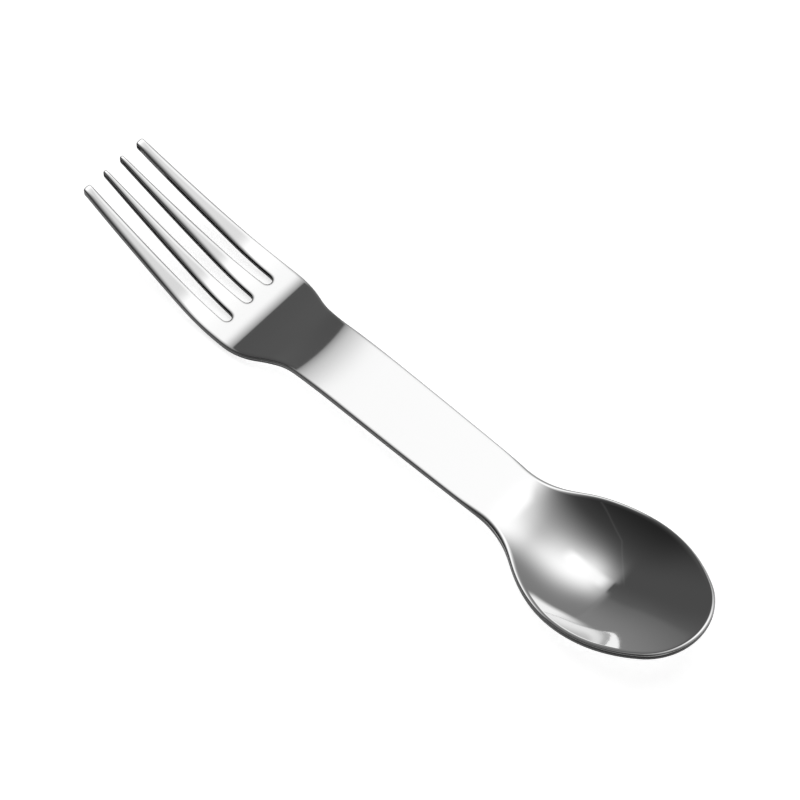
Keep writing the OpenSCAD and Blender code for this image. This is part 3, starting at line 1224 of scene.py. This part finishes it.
@dataclass(frozen=True)
class Panel:
    """The bright panel: a bell that is wider to the right, with a straight left side.

    Attributes:
        centre: middle of the bell, which reaches left, right, near and far from there.
        half_seam: half of the stretch in which one reach turns into the other.
        side: where its left side isn't lit and where it is full.
        ridge: where a ridge, level to ridge_end and fading to its left, replaces the bell.
        corner: the part of the ridge's left end that is cut off.
    """

    glow: float = 0.854
    centre: tuple[float, float] = (-0.246, 0.416)
    tilt: float = math.radians(26.2)
    left: float = 0.315
    right: float = 0.613
    near: float = 0.323
    far: float = 0.319
    half_seam: float = 0.01
    side: tuple[float, float] = (-0.70, -0.56)
    ridge: Patch = Patch(1.0, ((0.15, -0.05),), ((0.24, 0.35), (0.50, 0.39)))
    ridge_glow: float = 0.86
    ridge_end: float = -0.4
    ridge_fade: float = 0.169
    ridge_power: float = 2.05
    corner: Patch = Patch(1.0, ((-0.588, -0.606),), ((0.24, 0.335), (0.51, 0.415)))

    def light(self, a: Wire, b: Wire) -> Wire:
        """Light of the panel at a place in the tent, given along and across.

        Args:
            a: place along the spork.
            b: place across it.

        Returns:
            The level there.
        """
        right, up = a - self.centre[0], b - self.centre[1]
        cosine, sine = math.cos(self.tilt), math.sin(self.tilt)
        bell = self.glow * math.e ** (-1 * (
            self._reach(right * cosine + up * sine, self.left, self.right)
            + self._reach(up * cosine - right * sine, self.near, self.far)))
        past = a.ramp(self.ridge_end - 1, self.ridge_end, 1 / self.ridge_fade, 0.0, smooth=False)
        ridge = self.ridge_glow * math.e ** (-1 * past ** self.ridge_power)
        whole = bell + (ridge - bell) * self.ridge.light(a, b)
        return whole * a.ramp(*self.side) * (1 - self.corner.light(a, b))

    def _reach(self, value: Wire, below: float, above: float) -> Wire:
        """Square of a distance from the middle, as a share of the reach on its side."""
        share = value * value.ramp(-self.half_seam, self.half_seam, 1 / below, 1 / above)
        return share * share


@dataclass(frozen=True)
class Tent(Finish):
    """The inside of a light tent, which only the steel reflects.

    Each place is given by two numbers, along the spork and across it, which run from 0
    overhead to 1.41 at the floor. Levels are those of the steel that reflects them. The grey
    cloth gets lighter to the right, to the far side and in the near right corner.

    Attributes:
        window: the bright window low on the far side, whose sides lean by window_slant.
        seam: a thin light seam low on the near side, read along by the distance from its lines.
        seam_lines: its two lines, each as weights along and across and an offset.
        face: tint of the steel, by which the levels are divided.
    """

    name: str = "light_tent"
    panel: Panel = Panel()
    cloth: Patch = Patch(0.0148)
    middle: Patch = Patch(0.0501, (), ((-0.85, 0.05),))
    far_wall: Patch = Patch(0.121, (), ((0.2, 1.1),))
    right_wall: Patch = Patch(0.284, ((-0.5, 0.3),), ((-0.4, 0.5), (1.15, 0.6)))
    left_ledge: Patch = Patch(0.02, ((-0.60, -0.64),), ((0.48, 0.58),))
    near_corner: Patch = Patch(0.55, ((0.45, 0.85),), ((-0.35, -0.75),))
    near_foot: Patch = Patch(0.10, (), ((-0.9, -1.25),))
    window: Patch = Patch(0.69, ((-0.90, -0.45), (-0.04, -0.18)), ((1.27, 1.36),))
    window_slant: float = 0.225
    seam: Patch = Patch(0.022, ((-0.02, 0.0), (0.02, 0.0)), ((0.30, 0.18),))
    seam_lines: tuple[tuple[float, float, float], ...] = (
        (0.447, 0.894, 0.443), (0.827, 0.562, 0.445))
    face: float = 0.78
    radius: float = 15.0

    def shader(self, bench: Bench) -> Wire:
        """Shader of the tent, which gives all the light of a place.

        Args:
            bench: bench of the material.

        Returns:
            The shader.
        """
        spot = bench.node("ShaderNodeTexCoord", output="Object")
        unit = bench.node("ShaderNodeVectorMath", {"operation": "NORMALIZE"}, (spot,))
        x = bench.node("ShaderNodeSeparateXYZ", {}, (unit,), "X")
        scale = (2 / (x.other("Z") + 1)) ** 0.5
        a, b = x * scale, x.other("Y") * scale
        light = self.panel.light(a, b) + self.window.light(a, b - self.window_slant * a)
        first, second = (a * along + b * across + offset
                         for along, across, offset in self.seam_lines)
        light += self.seam.light(first.least(second), b)
        for patch in (self.cloth, self.middle, self.far_wall, self.right_wall, self.left_ledge,
                      self.near_corner, self.near_foot):
            light += patch.light(a, b)
        return bench.node("ShaderNodeEmission", {}, {"Strength": light / self.face})


@dataclass(frozen=True)
class PaleFloor(Finish):
    """A plain pale floor that keeps the spork's shadow, with some light of its own."""

    name: str = "pale_floor"
    colour: float = 0.85
    lift: float = 0.60
    half: float = 20.0

    def shader(self, bench: Bench) -> Wire:
        """Shader of the floor.

        Args:
            bench: bench of the material.

        Returns:
            The shader.
        """
        return bench.node("ShaderNodeBsdfPrincipled", {}, {
            "Base Color": (self.colour, self.colour, self.colour, 1), "Roughness": 1.0,
            "Specular IOR Level": 0.0, "Emission Color": (1, 1, 1, 1),
            "Emission Strength": seen_share(bench) * self.lift})


def seen_share(bench: Bench) -> Wire:
    """1 for rays from the camera, off gloss or through glass, and 0 for other rays.

    Args:
        bench: bench of a material or world.

    Returns:
        The share.
    """
    seen = bench.node("ShaderNodeLightPath", output="Is Camera Ray")
    rays = seen + seen.other("Is Glossy Ray") + seen.other("Is Transmission Ray")
    return rays.ramp(0.0, 1.0, smooth=False)


# The studio

@dataclass(frozen=True)
class Studio:
    """Camera, floor, tent, lamp and world round the spork.

    Places and sizes are in metres, the camera's lens and sensor in millimetres.
    """

    target: tuple[float, float, float] = (-0.0003, 0.0, 0.00706)
    azimuth: float = math.radians(42.69)
    elevation: float = math.radians(60.44)
    distance: float = 0.9
    lens: float = 187.5
    sensor: float = 36.0
    shift: tuple[float, float] = (0.00526, 0.00684)
    reach: tuple[float, float] = (0.05, 50.0)
    tent_detail: int = 5
    tent_gap: float = 0.001
    lamp_place: tuple[float, float, float] = (-0.35, 0.45, 1.5)
    lamp_size: float = 1.6
    lamp_power: float = 9.0
    unseen_level: float = 0.35

    def camera(self) -> None:
        """Places the camera at the photo's view."""
        back = Vector((math.sin(self.azimuth) * math.cos(self.elevation),
                       -math.cos(self.azimuth) * math.cos(self.elevation),
                       math.sin(self.elevation)))
        data = bpy.data.cameras.new("camera")
        data.lens, data.sensor_width = self.lens, self.sensor
        data.shift_x, data.shift_y = self.shift
        data.clip_start, data.clip_end = self.reach
        camera = bpy.data.objects.new("camera", data)
        camera.location = Vector(self.target) + back * self.distance
        camera.rotation_euler = (-back).to_track_quat("-Z", "Y").to_euler()
        bpy.context.scene.collection.objects.link(camera)
        bpy.context.scene.camera = camera

    def floor(self, finish: PaleFloor) -> bpy.types.Object:
        """Makes the floor.

        Args:
            finish: its finish.

        Returns:
            The floor.
        """
        bm = bmesh.new()
        bmesh.ops.create_grid(bm, x_segments=1, y_segments=1, size=finish.half)
        floor = finish_mesh("floor", bm)
        floor.data.materials.append(finish.make())
        return floor

    def tent(self, finish: Tent) -> bpy.types.Object:
        """Makes the tent, which the steel reflects and the camera doesn't see.

        Args:
            finish: its finish.

        Returns:
            The tent.
        """
        bm = bmesh.new()
        bmesh.ops.create_icosphere(bm, subdivisions=self.tent_detail, radius=finish.radius)
        bmesh.ops.bisect_plane(
            bm, geom=list(bm.verts) + list(bm.edges) + list(bm.faces),
            plane_co=(0, 0, self.tent_gap), plane_no=(0, 0, 1), clear_inner=True)
        bmesh.ops.reverse_faces(bm, faces=bm.faces)
        tent = finish_mesh("light_tent", bm)
        tent.data.materials.append(finish.make())
        tent.visible_camera = tent.visible_diffuse = tent.visible_shadow = False
        return tent

    def lamp(self) -> None:
        """Hangs one large soft lamp that lights the floor."""
        data = bpy.data.lights.new("overhead_lamp", "AREA")
        data.shape, data.size, data.energy = "DISK", self.lamp_size, self.lamp_power
        lamp = bpy.data.objects.new("overhead_lamp", data)
        lamp.location = self.lamp_place
        lamp.rotation_euler = (-lamp.location).to_track_quat("-Z", "Y").to_euler()
        lamp.visible_glossy = False
        bpy.context.scene.collection.objects.link(lamp)

    def world(self) -> None:
        """Makes a plain world, white where it is seen."""
        world = bpy.data.worlds.new("studio")
        bpy.context.scene.world = world
        bench = Bench(world)
        strength = seen_share(bench).ramp(0.0, 1.0, self.unseen_level, 1.0)
        shader = bench.node("ShaderNodeBackground", {}, {
            "Color": (1, 1, 1, 1), "Strength": strength})
        bench.node("ShaderNodeOutputWorld", {}, {"Surface": shader})


def main() -> None:
    """Builds the spork and its studio."""
    logging.basicConfig(level=logging.INFO, format="%(message)s")
    bpy.context.scene.view_settings.view_transform = "Standard"
    strip = PressedStrip().build()
    smooth = strip.modifiers.new("smooth", "SUBSURF")
    smooth.levels = smooth.render_levels = 1
    strip.data.materials.append(PolishedSteel().make())
    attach(strip, "root")
    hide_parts("spork")
    LOG.info("%s: %d faces", strip.name, len(strip.data.polygons))
    studio = Studio()
    studio.camera()
    for piece in (studio.floor(PaleFloor()), studio.tent(Tent())):
        LOG.info("%s: stage", piece.name)
    studio.lamp()
    studio.world()


if __name__ == "__main__":
    main()
